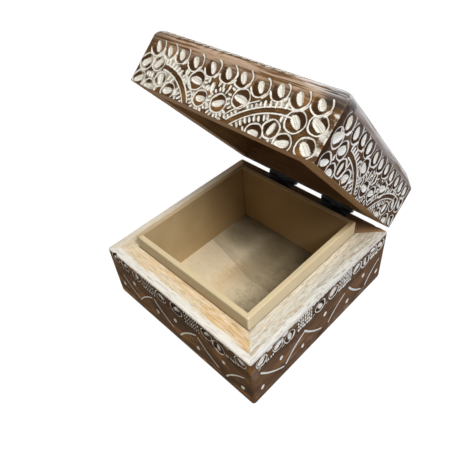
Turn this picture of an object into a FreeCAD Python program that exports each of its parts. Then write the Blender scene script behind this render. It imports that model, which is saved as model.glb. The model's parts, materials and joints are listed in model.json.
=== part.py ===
import FreeCAD, Part
import os

from FreeCAD import Vector

# Square keepsake box of carved wood with a hinged lid, in millimetres.
# The origin is the middle of the underside, X points right, Y to the back and Z up.

# Box
box_width = 102.0          # outside, left to right
box_depth = 102.0          # outside, front to back
base_height = 35.7         # underside to rim
lid_height = 26.6          # lower edge of the lid to its top
wall_thickness = 11.5      # side boards of the base
lid_wall_thickness = 11.2  # side boards of the lid
floor_thickness = 7.0      # board under the base walls
top_thickness = 5.0        # board over the lid walls
corner_rounding = 0.8      # upright outer edges
foot_rounding = 3.0        # outer edges of the underside
crown_rounding = 4.5       # outer edges of the top
lid_gap = 0.4              # closed lid to rim
lid_opening = 49.5         # degrees that the lid stands open

# Liner
liner_thickness = 2.5      # fibreboard strips
liner_rise = 8.0           # lip above the rim
liner_clearance = 0.3      # strips to the base walls
lip_rounding = 0.7         # upper outer edges and corners of the lip

# Hinges
hinge_spacing = 38.0       # middle to middle
hinge_length = 19.0        # along the pin
leaf_thickness = 0.8       # plate
leaf_reach = 6.5           # back face to the inner end of a leaf
leaf_clearance = 0.1       # leaf to the sides of its pocket
knuckle_radius = 1.55      # outside of the barrel
knuckle_gap = 0.3          # between neighbouring knuckles
barrel_clearance = 0.35    # barrel to the back faces
pin_radius = 0.75          # shaft of the pin
pin_clearance = 0.05       # shaft to bore, all round
pin_head_radius = 1.2      # peened end
pin_head_height = 0.5      # peened end

# Screws
screw_spacing = 11.0       # two in each leaf
screw_length = 7.0         # head face to point
screw_head_radius = 1.5    # countersunk head
screw_head_height = 0.65   # countersunk head
screw_shank_radius = 0.8   # shank
screw_point = 1.6          # length of the point
screw_slot_width = 0.45    # driver slot
screw_slot_depth = 0.35    # driver slot
pilot_clearance = 0.05     # shank to its hole, all round

# Levels and lines that follow from the sizes
lid_bottom = base_height + lid_gap
lid_top = lid_bottom + lid_height
lid_wall_top = lid_top - top_thickness
back_face = box_depth / 2
axis_y = back_face + knuckle_radius + barrel_clearance
axis_z = base_height + lid_gap / 2
hinge_places = {"left": -hinge_spacing / 2, "right": hinge_spacing / 2}
knuckle_length = (hinge_length - 2 * knuckle_gap) / 3
screw_y = back_face - leaf_reach / 2

RIGHT = Vector(1, 0, 0)
BACK = Vector(0, 1, 0)
UP = Vector(0, 0, 1)


def centred_box(width, depth, bottom, top):
    """Upright block about the Z axis."""
    corner = Vector(-width / 2, -depth / 2, bottom)
    return Part.makeBox(width, depth, top - bottom, corner)


def edges_along(block, direction, level=None):
    """Straight edges of a block in one direction, at one level if a level is given."""
    found = []
    for edge in block.Edges:
        parallel = abs(edge.tangentAt(edge.FirstParameter).dot(direction)) > 0.999
        if parallel and (level is None or abs(edge.CenterOfMass.z - level) < 1e-6):
            found.append(edge)
    return found


def eased_block(width, depth, bottom, top, corner_radius, edge_radius=0.0, edge_level=0.0):
    """Block with rounded upright edges and, at one level, rounded outer edges."""
    block = centred_box(width, depth, bottom, top)
    eased = block.makeFillet(corner_radius, edges_along(block, UP))
    if edge_radius > 0:
        for direction in (RIGHT, BACK):
            edges = edges_along(block, direction, edge_level)
            eased = eased.common(block.makeFillet(edge_radius, edges))
    return eased


def mitred_boards(ring, width, depth, thickness, bottom, top):
    """Front, right, back and left boards of a ring, parted along its mitres."""
    outer_x, outer_y = width / 2, depth / 2
    inner_x, inner_y = outer_x - thickness, outer_y - thickness
    signs = [(-1, -1), (1, -1), (1, 1), (-1, 1)]
    boards = {}
    for number, side in enumerate(("front", "right", "back", "left")):
        start, end = signs[number], signs[(number + 1) % 4]
        outline = [
            Vector(start[0] * outer_x, start[1] * outer_y, bottom),
            Vector(end[0] * outer_x, end[1] * outer_y, bottom),
            Vector(end[0] * inner_x, end[1] * inner_y, bottom),
            Vector(start[0] * inner_x, start[1] * inner_y, bottom),
        ]
        face = Part.Face(Part.makePolygon(outline + outline[:1]))
        boards[side] = ring.common(face.extrude(Vector(0, 0, top - bottom)))
    return boards


def wall_boards(thickness, bottom, top):
    """Four mitred walls of the base or of the lid."""
    outside = eased_block(box_width, box_depth, bottom, top, corner_rounding)
    inside = centred_box(box_width - 2 * thickness, box_depth - 2 * thickness, bottom, top)
    return mitred_boards(outside.cut(inside), box_width, box_depth, thickness, bottom, top)


def liner_strips():
    """Four mitred strips that stand on the floor board and rise above the rim."""
    inset = wall_thickness + liner_clearance
    width = box_width - 2 * inset
    depth = box_depth - 2 * inset
    bottom = floor_thickness
    top = base_height + liner_rise
    outside = eased_block(width, depth, bottom, top, lip_rounding, lip_rounding, top)
    inside = centred_box(width - 2 * liner_thickness, depth - 2 * liner_thickness, bottom, top)
    return mitred_boards(outside.cut(inside), width, depth, liner_thickness, bottom, top)


def leaf_pocket(middle, bottom, top):
    """Shallow pocket for a hinge leaf, open to the back face."""
    length = hinge_length + 2 * leaf_clearance
    depth = leaf_reach + leaf_clearance
    corner = Vector(middle - length / 2, back_face - depth, bottom)
    return Part.makeBox(length, depth, top - bottom, corner)


def screw_places(middle):
    """Positions along X of the two screws of a leaf."""
    return (middle - screw_spacing / 2, middle + screw_spacing / 2)


def pilot_hole(x, level, direction):
    """Hole for a screw shank, from the face of the leaf into the wood."""
    radius = screw_shank_radius + pilot_clearance
    depth = screw_length + pilot_clearance
    return Part.makeCylinder(radius, depth, Vector(x, screw_y, level), direction)


def screw(x, level, direction):
    """Countersunk wood screw with its head face at a level."""
    point_start = screw_length - screw_point
    head = Part.makeCone(screw_head_radius, screw_shank_radius, screw_head_height)
    shank = Part.makeCylinder(screw_shank_radius, point_start)
    point = Part.makeCone(screw_shank_radius, 0, screw_point, Vector(0, 0, point_start))
    slot_corner = Vector(-screw_head_radius, -screw_slot_width / 2, 0)
    slot = Part.makeBox(2 * screw_head_radius, screw_slot_width, screw_slot_depth, slot_corner)
    body = head.fuse([shank, point]).removeSplitter().cut(slot)
    body.Placement = FreeCAD.Placement(Vector(x, screw_y, level), FreeCAD.Rotation(UP, direction))
    return body


def knuckle(start, length):
    """Length of the hinge barrel, not yet bored."""
    return Part.makeCylinder(knuckle_radius, length, Vector(start, axis_y, axis_z), RIGHT)


def hinge_leaf(middle, bottom, face_level, direction, knuckle_starts):
    """Leaf with its own knuckles, bored for the pin and countersunk for two screws."""
    left_end = middle - hinge_length / 2
    corner = Vector(left_end, back_face - leaf_reach, bottom)
    leaf = Part.makeBox(hinge_length, leaf_reach, leaf_thickness, corner)
    for start in knuckle_starts:
        web_corner = Vector(start, back_face, bottom)
        web = Part.makeBox(knuckle_length, axis_y - back_face, leaf_thickness, web_corner)
        leaf = leaf.fuse([web, knuckle(start, knuckle_length)])
    leaf = leaf.removeSplitter()
    bore_start = Vector(left_end, axis_y, axis_z)
    leaf = leaf.cut(Part.makeCylinder(pin_radius + pin_clearance, hinge_length, bore_start, RIGHT))
    for x in screw_places(middle):
        seat = Vector(x, screw_y, face_level)
        sink = Part.makeCone(screw_head_radius, screw_shank_radius, screw_head_height, seat, direction)
        leaf = leaf.cut(sink.fuse(pilot_hole(x, face_level, direction)))
    return leaf


def outer_knuckles(middle):
    """Starts of the first and the last knuckle."""
    left_end = middle - hinge_length / 2
    return (left_end, left_end + 2 * (knuckle_length + knuckle_gap))


def middle_knuckle(middle):
    """Start of the knuckle between the other two."""
    return (middle - knuckle_length / 2,)


def hinge_pin(middle):
    """Pin with a peened head against each end of the barrel."""
    left_end = middle - hinge_length / 2
    right_end = middle + hinge_length / 2
    shaft = Part.makeCylinder(pin_radius, hinge_length, Vector(left_end, axis_y, axis_z), RIGHT)
    left_head_start = Vector(left_end - pin_head_height, axis_y, axis_z)
    left_head = Part.makeCylinder(pin_head_radius, pin_head_height, left_head_start, RIGHT)
    right_head_start = Vector(right_end, axis_y, axis_z)
    right_head = Part.makeCylinder(pin_head_radius, pin_head_height, right_head_start, RIGHT)
    return shaft.fuse([left_head, right_head]).removeSplitter()


def opened(shape):
    """Shape of the closed lid, swung open about the hinge pins."""
    swung = shape.copy()
    swung.rotate(Vector(0, axis_y, axis_z), -RIGHT, lid_opening)
    return swung


def base_pieces():
    """Pieces that stand still."""
    pieces = {}
    pieces["floor_board"] = eased_block(
        box_width, box_depth, 0, floor_thickness, corner_rounding, foot_rounding, 0)
    walls = wall_boards(wall_thickness, floor_thickness, base_height)
    screws = []
    for side, middle in hinge_places.items():
        leaf_bottom = base_height - leaf_thickness
        walls["back"] = walls["back"].cut(leaf_pocket(middle, leaf_bottom, base_height))
        for x in screw_places(middle):
            walls["back"] = walls["back"].cut(pilot_hole(x, base_height, -UP))
            screws.append(screw(x, base_height, -UP))
        pieces[f"hinge_{side}_base_leaf"] = hinge_leaf(
            middle, leaf_bottom, base_height, -UP, outer_knuckles(middle))
        pieces[f"hinge_{side}_pin"] = hinge_pin(middle)
    for side, wall in walls.items():
        pieces[f"base_{side}_wall"] = wall
    for side, strip in liner_strips().items():
        pieces[f"liner_{side}"] = strip
    pieces["base_leaf_screws"] = Part.makeCompound(screws)
    return pieces


def lid_pieces():
    """Pieces that swing, in the closed position."""
    pieces = {}
    pieces["lid_top_board"] = eased_block(
        box_width, box_depth, lid_wall_top, lid_top, corner_rounding, crown_rounding, lid_top)
    walls = wall_boards(lid_wall_thickness, lid_bottom, lid_wall_top)
    screws = []
    for side, middle in hinge_places.items():
        leaf_top = lid_bottom + leaf_thickness
        walls["back"] = walls["back"].cut(leaf_pocket(middle, lid_bottom, leaf_top))
        for x in screw_places(middle):
            walls["back"] = walls["back"].cut(pilot_hole(x, lid_bottom, UP))
            screws.append(screw(x, lid_bottom, UP))
        pieces[f"hinge_{side}_lid_leaf"] = hinge_leaf(
            middle, lid_bottom, lid_bottom, UP, middle_knuckle(middle))
    for side, wall in walls.items():
        pieces[f"lid_{side}_wall"] = wall
    pieces["lid_leaf_screws"] = Part.makeCompound(screws)
    return pieces


os.makedirs("parts", exist_ok=True)
for name, shape in base_pieces().items():
    shape.exportStep(f"parts/{name}.step")
for name, shape in lid_pieces().items():
    opened(shape).exportStep(f"parts/{name}.step")
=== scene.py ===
import json
import math

import bpy
import numpy as np
from bpy.props import FloatProperty, FloatVectorProperty, IntProperty, PointerProperty
from mathutils import Matrix, Vector


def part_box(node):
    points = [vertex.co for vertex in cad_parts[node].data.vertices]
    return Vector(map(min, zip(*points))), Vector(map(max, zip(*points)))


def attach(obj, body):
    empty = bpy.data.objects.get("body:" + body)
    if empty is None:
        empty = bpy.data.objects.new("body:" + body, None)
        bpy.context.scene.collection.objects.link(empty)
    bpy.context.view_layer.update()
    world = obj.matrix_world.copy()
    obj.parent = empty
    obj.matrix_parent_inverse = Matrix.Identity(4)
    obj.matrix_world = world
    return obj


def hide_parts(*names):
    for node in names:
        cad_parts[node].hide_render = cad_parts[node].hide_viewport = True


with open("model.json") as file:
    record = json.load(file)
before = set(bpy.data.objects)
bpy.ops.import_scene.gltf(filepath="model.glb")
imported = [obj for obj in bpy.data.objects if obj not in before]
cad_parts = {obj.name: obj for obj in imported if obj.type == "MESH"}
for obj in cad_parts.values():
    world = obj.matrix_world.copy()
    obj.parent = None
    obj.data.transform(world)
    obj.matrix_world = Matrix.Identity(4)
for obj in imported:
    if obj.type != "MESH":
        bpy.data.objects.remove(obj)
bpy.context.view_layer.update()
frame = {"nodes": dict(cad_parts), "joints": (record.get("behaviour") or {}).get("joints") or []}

bl_info = {
    "name": "Carved keepsake box",
    "version": (1, 0, 0),
    "blender": (4, 5, 0),
    "location": "3D View > Sidebar > Keepsake box",
    "description": "Carves and finishes the boards of a hinged wooden keepsake box",
    "category": "Object",
}

MM = 0.001
SIDES = ("front", "right", "back", "left")
HINGES = ("left", "right")

# Warmth of the tones of each side from 0 to 1, and of the plain middle of a board. Cool sides get bluish
# filler as painted cool light, and more painted gloss along the crest
SIDE_WARMTH = {"front": 0.95, "right": 0.12, "back": 0.6, "left": 0.7}
MIDDLE_WARMTH = 0.6

# Hinge line and the turn that opens the shut lid
lid_hinge = frame["joints"][0]
hinge_point = Vector(lid_hinge["pos_m"])
hinge_turn = Matrix.Rotation(-math.radians(lid_hinge["range_deg"][0]), 4, Vector(lid_hinge["axis"]))
OPEN_LID = Matrix.Translation(hinge_point) @ hinge_turn @ Matrix.Translation(-hinge_point)
SHUT_LID = OPEN_LID.inverted()


def shut_box(node):
    """Lowest and highest corner of a lid node when the lid is shut."""
    corners = np.array([SHUT_LID @ vertex.co for vertex in frame["nodes"][node].data.vertices])
    return Vector(corners.min(axis=0)), Vector(corners.max(axis=0))


floor_low, floor_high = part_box("floor_board")
wall_low, wall_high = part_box("base_front_wall")
liner_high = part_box("liner_front")[1]
lid_wall_low, lid_wall_high = shut_box("lid_front_wall")
lid_top_low, lid_top_high = shut_box("lid_top_board")
HALF = floor_high.x


def tone(red, green, blue):
    """Linear colour of a tone that is given as it looks on screen, from 0 to 255."""
    levels = np.array([red, green, blue]) / 255
    linear = np.where(levels > 0.04045, ((levels + 0.055) / 1.055) ** 2.4, levels / 12.92)
    return tuple(float(level) for level in linear)


def size_property(name, description, millimetres):
    """Length that a user can change."""
    return FloatProperty(
        name=name, description=description, default=millimetres * MM, unit="LENGTH", precision=5)


def angle_property(name, description, degrees):
    """Angle that a user can change."""
    return FloatProperty(name=name, description=description, default=math.radians(degrees), subtype="ANGLE")


def power_property(name, description, watts):
    """Strength of a lamp that a user can change."""
    return FloatProperty(name=name, description=description, default=watts, unit="POWER")


def colour_property(name, description, *levels):
    """Colour that a user can change."""
    return FloatVectorProperty(
        name=name, description=description, default=tone(*levels), subtype="COLOR", min=0, max=1)


class KeepsakeCarving(bpy.types.PropertyGroup):
    """Sizes of the gouge work."""

    cell: size_property("Mesh spacing", "Spacing of the points of a carved side", 0.27)
    top_cell: size_property("Top mesh spacing", "Spacing of the points of the carved top", 0.34)
    seed_depth: size_property("Seed depth", "Depth of a scooped seed", 0.65)
    line_depth: size_property("Line depth", "Depth of a ring or line", 0.06)
    line_width: size_property("Line width", "Width of a ring or line", 0.54)
    corner: size_property("Corner rounding", "Rounding of the upright edges", 1.1)
    rim_easing: size_property("Rim easing", "Rounding of the outer edge of the rim", 0.5)
    seam_easing: size_property("Seam easing", "Rounding of the edges along a glued seam", 0.06)
    crown: size_property("Crown rounding", "Rounding of the edges of the lid's top", 4.5)
    foot: size_property("Foot rounding", "Rounding of the edges of the underside", 3.0)
    top_corner: size_property("Top corner", "Rounding of the corners of the flat top and underside", 2.6)
    leaf_thickness: size_property("Leaf thickness", "Thickness of a hinge leaf and depth of its pocket", 0.8)
    leaf_clearance: size_property("Leaf clearance", "Leaf to the sides of its pocket", 0.1)
    unsteadiness: FloatProperty(
        name="Unsteadiness", description="How far the hand strays, 0 for a machine", default=1.0,
        min=0, max=3)
    start: IntProperty(name="Start number", description="Start of the strays of the hand", default=7)


class KeepsakeColours(bpy.types.PropertyGroup):
    """Colours of the finishes."""

    stain: colour_property("Stain", "Golden brown of the carved wood", 112, 82, 52)
    stain_cool: colour_property("Cool stain", "Redder brown of the boards at the sides", 102, 78, 62)
    stain_pale: colour_property("Pale stain", "Lighter streaks of the carved wood", 152, 112, 70)
    # Also painted shade on the dark side of each ring's ground and on the base's front
    stain_dark_and_shade: colour_property("Dark stain", "Dark streaks and the ground of the rings", 44, 28, 17)
    crown: colour_property("Crown", "Worn wood along the edges of the lid's top", 218, 192, 168)
    crown_cool: colour_property("Cool crown", "Worn greyer wood along the sides of the top", 148, 147, 152)
    # Painted reflection: dark patch on the lid's front right corner
    painted_dark_reflection: colour_property("Varnish", "Darkened varnish at the lid's front right corner", 56, 54, 58)
    # Painted highlights: bluish streaks along the lid's crest
    painted_gloss: colour_property("Gloss", "Bluish streaks along the lid's crest", 214, 219, 228)
    stain_gold: colour_property("Golden stain", "Golden patches of the carved wood", 178, 128, 72)
    filler: colour_property("Filler", "White that is left in the cuts", 243, 242, 235)
    # Painted cool light from the right: bluish filler on the cool sides
    filler_cool_light: colour_property("Cool filler", "Bluish white of the boards at the sides", 217, 222, 231)
    filler_dirt: colour_property("Filler dirt", "Thin or dirty filler", 208, 200, 184)
    rim: colour_property("Rim", "Pale bare wood of the rim", 236, 218, 184)
    rim_warm: colour_property("Warm rim", "Orange streaks of the rim", 230, 194, 138)
    rim_grey: colour_property("Grey rim", "Greyed wood of the rim", 204, 203, 194)
    rim_pale: colour_property("Pale rim", "Pale wood between the grey of the rim", 230, 226, 212)
    # Also painted shade of the lid on the back of the rim
    rim_pores_and_shade: colour_property("Rim pores", "Brown grain lines of the rim", 158, 136, 102)
    rim_white: colour_property("White rim", "Whitewash along the rim", 248, 246, 240)
    rim_white_cool: colour_property("Cool white rim", "Thinner whitewash at the sides", 234, 236, 233)
    # Stain and painted shade of the lid on the back of the rim, painted shade on the back of the left rim and
    # of the liner's right top edge, and the browner left top edge of the liner
    rim_stain_and_shade: colour_property("Brown rim", "Stained rim at the back", 150, 112, 74)
    inside: colour_property("Lid inside", "Brown inside the lid", 163, 129, 91)
    inside_dark: colour_property("Dark lid inside", "Dark grain inside the lid", 124, 95, 64)
    fibreboard: colour_property("Fibreboard", "Faces of the liner", 206, 186, 146)
    fibreboard_dark: colour_property("Dark fibreboard", "Darker clouds of the liner", 176, 150, 106)
    fibreboard_edge: colour_property("Fibreboard edge", "Sawn upper edges of the liner", 234, 218, 180)
    # Also painted light on the right outer face of the liner
    fibreboard_pale_and_lit: colour_property("Pale fibreboard", "Outer faces of the liner", 226, 214, 188)
    # Painted shade on the inner faces of the liner, deeper towards the back
    fibreboard_painted_shade: colour_property("Deep fibreboard", "Shaded inner faces of the liner", 152, 110, 50)
    floor: colour_property("Floor", "Pale wood of the floor", 240, 226, 194)
    floor_warm: colour_property("Warm floor", "Orange patch of the floor", 226, 190, 134)
    # Also painted shadow in the middle and at the right of the floor
    floor_dark_and_shade: colour_property("Dark floor", "Dark mottling of the heartwood", 124, 108, 74)
    # Also painted shade towards the back of the floor
    floor_deep_and_shade: colour_property("Deep floor", "Darkest heartwood of the floor", 84, 70, 44)
    hinge: colour_property("Hinge", "Black of the hinges", 22, 22, 25)
    hinge_rubbed: colour_property("Rubbed hinge", "Steel that shows through the black", 70, 66, 62)


class KeepsakeStage(bpy.types.PropertyGroup):
    """Camera and lights."""

    azimuth: angle_property("Azimuth", "Turn of the view to the right of the front", 49.6524)
    elevation: angle_property("Elevation", "Height of the view", 42.9623)
    roll: angle_property("Roll", "Tilt of the view", -6.6898)
    place: FloatVectorProperty(
        name="Place", description="Place of the camera", default=(0.12621, -0.11909, 0.20839),
        subtype="TRANSLATION")
    lens: FloatProperty(name="Lens", description="Focal length", default=37.867, unit="CAMERA")
    key: power_property("Key light", "Strength of the main light", 4.6)
    fill: power_property("Fill light", "Strength of the cool light at the right", 0.36)
    left: power_property("Left light", "Strength of the light at the left", 1.2)
    sky: FloatProperty(name="Sky", description="Strength of the light from all round", default=0.08, min=0)


def smooth(low, high, values):
    """Soft step from 0 at low to 1 at high."""
    share = np.clip((values - low) / (high - low), 0, 1)
    return share * share * (3 - 2 * share)


def spread(values, columns, reach):
    """Mean of each point of a grid and its neighbours."""
    field = values.reshape(-1, columns)
    for axis in (0, 1):
        padded = np.pad(field, [(reach, reach) if axis == a else (0, 0) for a in (0, 1)], mode="edge")
        field = sum(np.roll(padded, shift, axis=axis) for shift in range(-reach, reach + 1)) / (2 * reach + 1)
        field = field[reach:-reach] if axis == 0 else field[:, reach:-reach]
    return field.ravel()


def arc_share(right, above, start, end):
    """Angles of points about a centre, and how far each lies past the end of an arc, in degrees."""
    angle = np.degrees(np.arctan2(above, right))
    turned = np.abs((angle - (start + end) / 2 + 180) % 360 - 180)
    return angle, turned - abs(end - start) / 2


# Slips of the hand: of a cut's place in millimetres, of its angle in degrees and as shares of its sizes
PLACE_SLIP = 0.12
ANGLE_SLIP = 4
LENGTH_SLIP = 0.05
WIDTH_SLIP = 0.06
RING_SLIP = 0.02

# Unevenness of a seed's outline and of the gouge's steps along it, and of the course and width of a line
OUTLINE_WAVE = 0.12
GOUGE_STEPS = 0.16
LINE_WAVER = 0.08
LINE_SWELL = 0.18

# Half of the width that is carved, and the half width from which a scoop has its full depth, in millimetres
CARVED_HALF = 47
FULL_SCOOP = 1.2

# Length in millimetres over which a line thins out at its ends, and the width of the edge of a ring's ground
LINE_TAPER = 1.2
GROUND_EDGE = 0.6

# Depth in millimetres of a ring's ground, and what its dark side adds
GROUND_DEPTH = 0.15
DARK_SIDE_DEPTH = 0.35

# Darkening beside a line, round a short stroke and round a hatched one
LINE_SHADE = 0.55
STROKE_SHADE = 0.85
HATCH_SHADE = 0.9


class Carving:
    """Cuts, wear and painted light and shade of one face, at points that are given in millimetres across and
    up the face.
    """

    def __init__(self, across, up, warmth, number, ground_level):
        settings = bpy.context.scene.keepsake_carving
        self.across = across
        self.up = up
        self.warmth = warmth
        self.depth, self.filler, self.ground, self.groove, self.shade = np.zeros((5, len(across)))
        self.crown, self.rim, self.sheen = np.zeros((3, len(across)))
        self.plain = np.zeros(len(across), bool)
        self.relief = 1.0
        self.smear = 1.0
        self.ground_level = ground_level
        self.seed_depth = settings.seed_depth / MM
        self.line_depth = settings.line_depth / MM
        self.half_line = settings.line_width / MM / 2
        self.stray = settings.unsteadiness
        self.hand = np.random.default_rng(settings.start + number)

    def slip(self, usual):
        """Slip of the hand, whose usual size is given."""
        return self.hand.normal(0, usual) * self.stray

    def darken(self, share):
        """Darkens each point by at least a share."""
        self.shade = np.maximum(self.shade, share)

    def fade(self, margin):
        """Lets the cuts run out where a margin falls to 0."""
        self.filler *= margin
        self.ground *= margin
        self.relief = self.relief * margin

    def near(self, x, y, reach):
        """Numbers of the points within reach of a place, and their offsets from it."""
        inside = (np.abs(self.across - x) < reach) & (np.abs(self.up - y) < reach)
        points = np.nonzero(inside)[0]
        return points, self.across[points] - x, self.up[points] - y

    def cut(self, points, profile, depth, filler, steepness=1.0, fading=(-0.5, 0.6)):
        """Deepens points along a profile that is 1 at the middle of a cut and below 0 outside it."""
        self.depth[points] = np.maximum(self.depth[points], depth * np.clip(profile * steepness, 0, 1))
        self.filler[points] = np.maximum(self.filler[points], filler * smooth(*fading, profile))

    def is_bare(self, x, y, reach=0.5):
        """Whether a place and what is within reach of it is still uncut and not kept plain."""
        points, _, _ = self.near(x, y, reach)
        return (abs(x) < CARVED_HALF and len(points) > 0 and self.filler[points].max() < 0.4
                and self.ground[points].max() < 0.1 and not self.plain[points].any())

    def seed(self, x, y, angle, half_length, half_width, filler=1.0, shade=0.0):
        """Oval scoop whose long axis stands at an angle in degrees, darkened round it."""
        x += self.slip(PLACE_SLIP)
        y += self.slip(PLACE_SLIP)
        angle = math.radians(angle + self.slip(ANGLE_SLIP))
        half_length *= 1 + self.slip(LENGTH_SLIP)
        half_width *= 1 + self.slip(WIDTH_SLIP)
        points, right, above = self.near(x, y, half_length * 1.4 + 1)
        along = (right * math.cos(angle) + above * math.sin(angle)) / half_length
        side = (above * math.cos(angle) - right * math.sin(angle)) / half_width
        phase = self.hand.uniform(0, 6)
        outline = OUTLINE_WAVE * self.stray * np.sin(3 * np.arctan2(side, along) + phase)
        # A wide seed shows the steps of the gouge along its sides
        if half_width > 1:
            steps = np.sin(along * half_length * 7.5) * smooth(0.1, 0.7, np.abs(side))
            outline += GOUGE_STEPS * self.stray * steps
        profile = 1 - np.abs(along) ** 2.4 - side ** 2 + outline
        self.cut(points, profile, self.seed_depth * min(1, half_width / FULL_SCOOP), filler, 1.7)
        inside = profile > -0.6
        self.groove[points[inside]] = side[inside] * half_width + self.hand.uniform(0, 90)
        ring = np.hypot(along, side) + 1e-6
        outside = (ring - 1) * ring / (np.hypot(along / half_length, side / half_width) + 1e-6)
        self.shade[points] = np.maximum(self.shade[points], shade * smooth(1.1, 0.1, outside))

    def arc(self, x, y, radius, start, end, filler=1.0, width=1.0):
        """Line along a circle between two angles in degrees, thin at its ends."""
        points, right, above = self.near(x, y, radius + 1)
        angle, past = arc_share(right, above, start, end)
        taper = math.degrees(LINE_TAPER / radius)
        ends = smooth(taper, -taper, past) if abs(end - start) < 360 else 1.0
        phases = self.hand.uniform(0, 6, 2)
        waver = LINE_WAVER * self.stray * np.sin(np.radians(angle) * 5 + phases[0])
        swell = 1 + LINE_SWELL * self.stray * np.sin(np.radians(angle) * 3 + phases[1])
        offset = (np.hypot(right, above) - radius + waver) / (self.half_line * width * swell)
        self.cut(points, ends * 2.4 - 1.4 - offset ** 2, self.line_depth, filler, 1.0, (-1.2, 1.0))
        outside = (np.abs(offset) - 1) * self.half_line * width
        dark = LINE_SHADE * filler * ends * smooth(1.0, 0.1, outside)
        self.shade[points] = np.maximum(self.shade[points], dark)

    def bow(self, start, end, sag, filler=1.0, width=1.0):
        """Line between two places that bulges to its left by sag."""
        start, end = np.array(start), np.array(end)
        chord = end - start
        length = np.hypot(*chord)
        left = np.array([-chord[1], chord[0]]) / length
        radius = length ** 2 / (8 * sag) + sag / 2
        centre = (start + end) / 2 + left * (sag - radius)
        angles = [math.degrees(math.atan2(*(place - centre)[::-1])) for place in (start, end)]
        sweep = (angles[1] - angles[0] + 180) % 360 - 180
        self.arc(*centre, radius, angles[0], angles[0] + sweep, filler, width)

    def eye(self, x, y, radius, angle, half_length, half_width, start=-180, end=180, line=1.0, dark=None):
        """Seed inside a ring whose ground is stained dark and slopes down to a side at an angle, or else
        above the seed, where painted shade darkens it further.
        """
        x += self.slip(PLACE_SLIP)
        y += self.slip(PLACE_SLIP)
        radius *= 1 + self.slip(RING_SLIP)
        points, right, above = self.near(x, y, radius)
        distance = np.hypot(right, above)
        inside = smooth(radius, radius - GROUND_EDGE, distance)
        if dark is None:
            dark = angle - math.copysign(90, -math.cos(math.radians(angle)))
        toward = (right * math.cos(math.radians(dark)) + above * math.sin(math.radians(dark))) / radius
        painted_shade_side = smooth(-0.1, 0.5, toward)
        darkness = self.ground_level + (1 - self.ground_level) * painted_shade_side
        self.ground[points] = np.maximum(self.ground[points], inside * darkness)
        depth = inside * (GROUND_DEPTH + DARK_SIDE_DEPTH * painted_shade_side)
        self.depth[points] = np.maximum(self.depth[points], depth)
        self.arc(x, y, radius, start, end, width=line)
        self.seed(x, y, angle, half_length, half_width)

    def stem(self, x, y, radius, half_width, start, end):
        """Band of plain wood along a circle, between two lines."""
        points, right, above = self.near(x, y, radius + half_width)
        _, past = arc_share(right, above, start, end)
        band = (past < 0) & (np.abs(np.hypot(right, above) - radius) < half_width)
        self.plain[points[band]] = True
        for offset in (-half_width, half_width):
            self.arc(x, y, radius + offset, start, end)

    def ticks(self, x, y, radius, start, end, pitch, half_length, half_width=0.5):
        """Short strokes that stand across an arc, only on bare wood."""
        count = max(2, round(math.radians(abs(end - start)) * radius / pitch))
        for angle in np.linspace(start, end, count):
            turn = math.radians(angle)
            place = x + radius * math.cos(turn), y + radius * math.sin(turn)
            if self.is_bare(*place):
                self.seed(*place, angle, half_length, half_width, shade=STROKE_SHADE)

    def hatch(self, x, y, columns, rows, pitch, row_pitch, angle, half_width=0.5):
        """Block of short strokes, only on bare wood, with a bolder lowest row."""
        for row in range(rows):
            for column in range(columns):
                place = x + (column - (columns - 1) / 2) * pitch, y + (row - (rows - 1) / 2) * row_pitch
                if self.is_bare(*place):
                    width = half_width * (1.0 if row else 1.25)
                    self.seed(*place, angle, row_pitch * 0.46, width, shade=HATCH_SHADE)

    def filling(self, reach_x, low, high, pitch, row_pitch, reach):
        """Short strokes at odd angles on what is still bare."""
        for y in np.arange(low, high, row_pitch):
            for x in np.arange(-reach_x, reach_x, pitch):
                place = x + self.slip(0.3), y + self.slip(0.35)
                if self.is_bare(*place, reach):
                    self.seed(*place, 90 + self.slip(25), row_pitch * 0.5, 0.5, shade=STROKE_SHADE)
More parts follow.
